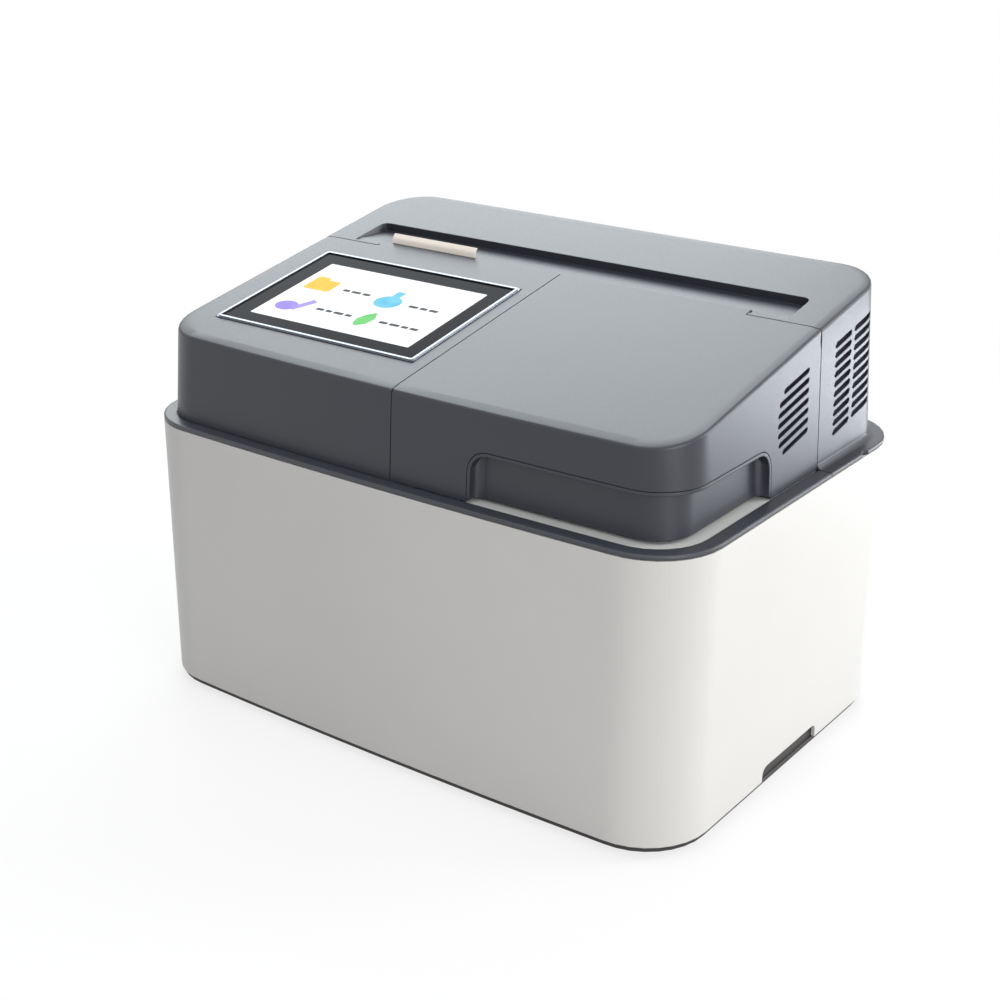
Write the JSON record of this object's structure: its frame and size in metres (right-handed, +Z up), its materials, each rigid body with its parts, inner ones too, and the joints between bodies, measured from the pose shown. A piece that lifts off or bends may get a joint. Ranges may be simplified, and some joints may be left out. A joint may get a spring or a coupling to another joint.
{
  "type": "veterinary chemistry analyzer",
  "caption": "Benchtop blood chemistry analyzer: metal sleeve body, slanted housing with touch screen, hinged sample lid over a turntable, and a paper printer behind.",
  "frame": {"origin": "under the middle of the body, on the table", "axes": "+Z up, front with the lid grip towards -Y, screen on the left (-X)"},
  "size_m": [0.33, 0.2286, 0.2343],
  "materials": {
    "sleeve_paint": "satin",
    "housing_plastic": "fine texture",
    "dark_plastic": "satin",
    "deck_plastic": "satin",
    "black_plastic": "satin",
    "display_glass": "gloss",
    "trim_chrome": "satin chrome",
    "steel": "plated",
    "aluminium": "machined",
    "foot_rubber": "matt",
    "board": "solder resist",
    "ivory_plastic": "satin",
    "brass": "machined",
    "heater_film": "film",
    "paper": "matt",
    "filter_foam": "open foam"
  },
  "bodies": {
    "chassis": {"base_tray": "dark_plastic", "data_ports": "black_plastic", "deck_collar": "housing_plastic", "display_board": "board", "display_glass": "display_glass", "display_panel": "steel", "display_trim": "trim_chrome", "fan_frame": "black_plastic", "foot_front_left": "foot_rubber", "foot_front_right": "foot_rubber", "foot_rear_left": "foot_rubber", "foot_rear_right": "foot_rubber", "heater_ring": "heater_film", "hinge_bracket_left": "steel", "hinge_bracket_right": "steel", "hinge_bulkhead": "dark_plastic", "hinge_pin_left": "steel", "hinge_pin_right": "steel", "incubation_well": "aluminium", "latch_solenoid": "black_plastic", "main_board": "board", "optical_unit": "black_plastic", "paper_strip": "paper", "power_inlet": "black_plastic", "power_supply": "aluminium", "power_switch": "black_plastic", "print_head": "black_plastic", "printer_frame": "steel", "printer_motor": "steel", "rear_cover": "housing_plastic", "rear_panel": "dark_plastic", "roll_spindle": "ivory_plastic", "screen_housing": "housing_plastic", "sleeve": "sleeve_paint", "spindle_motor": "steel", "upper_deck": "deck_plastic", "vent_filter_left": "filter_foam", "vent_filter_right": "filter_foam"},
    "lid": {"lid": "housing_plastic", "grip_scoop": "housing_plastic", "lid_light_shield": "black_plastic", "hinge_arm_left": "steel", "hinge_arm_right": "steel", "latch_hook": "steel"},
    "turntable": {"turntable": "dark_plastic"},
    "fan": {"fan_rotor": "black_plastic"},
    "platen": {"platen_roller": "foot_rubber", "platen_gear": "ivory_plastic"},
    "pinion": {"printer_pinion": "brass"},
    "paper_roll": {"paper_roll": "paper"},
    "bolt": {"latch_bolt": "steel"},
    "rocker": {"power_rocker": "black_plastic"}
  },
  "joints": [
    {"name": "lid_hinge", "type": "hinge", "parent": "chassis", "child": "lid", "pos_m": [0.06, 0.0414, 0.2161], "axis": [-1, 0, 0], "range_deg": [0, 75]},
    {"name": "turntable_spin", "type": "hinge", "parent": "chassis", "child": "turntable", "pos_m": [0.0797, -0.0364, 0.142], "axis": [0, 0, 1], "continuous": true},
    {"name": "fan_spin", "type": "hinge", "parent": "chassis", "child": "fan", "pos_m": [0.145, 0.0609, 0.185], "axis": [1, 0, 0], "continuous": true},
    {"name": "platen_spin", "type": "hinge", "parent": "chassis", "child": "platen", "pos_m": [-0.0819, 0.03997, 0.20853], "axis": [1, 0, 0], "continuous": true},
    {"name": "pinion_spin", "type": "hinge", "parent": "chassis", "child": "pinion", "pos_m": [-0.1179, 0.05187, 0.2028], "axis": [1, 0, 0], "continuous": true},
    {"name": "paper_roll_spin", "type": "hinge", "parent": "chassis", "child": "paper_roll", "pos_m": [-0.0819, 0.06198, 0.18153], "axis": [1, 0, 0], "continuous": true},
    {"name": "latch_bolt_slide", "type": "slide", "parent": "chassis", "child": "bolt", "axis": [1, 0, 0], "range_m": [0, 0.01], "stiffness_N_per_m": 100, "springref_m": -0.002},
    {"name": "power_rocker_tilt", "type": "hinge", "parent": "chassis", "child": "rocker", "pos_m": [-0.026, 0.1103, 0.063], "axis": [1, 0, 0], "range_deg": [0, 20]}
  ],
  "couplings": [
    {"joint": "pinion_spin", "follows": "platen_spin", "ratio": -2},
    {"joint": "paper_roll_spin", "follows": "platen_spin", "ratio": 0.32941}
  ]
}
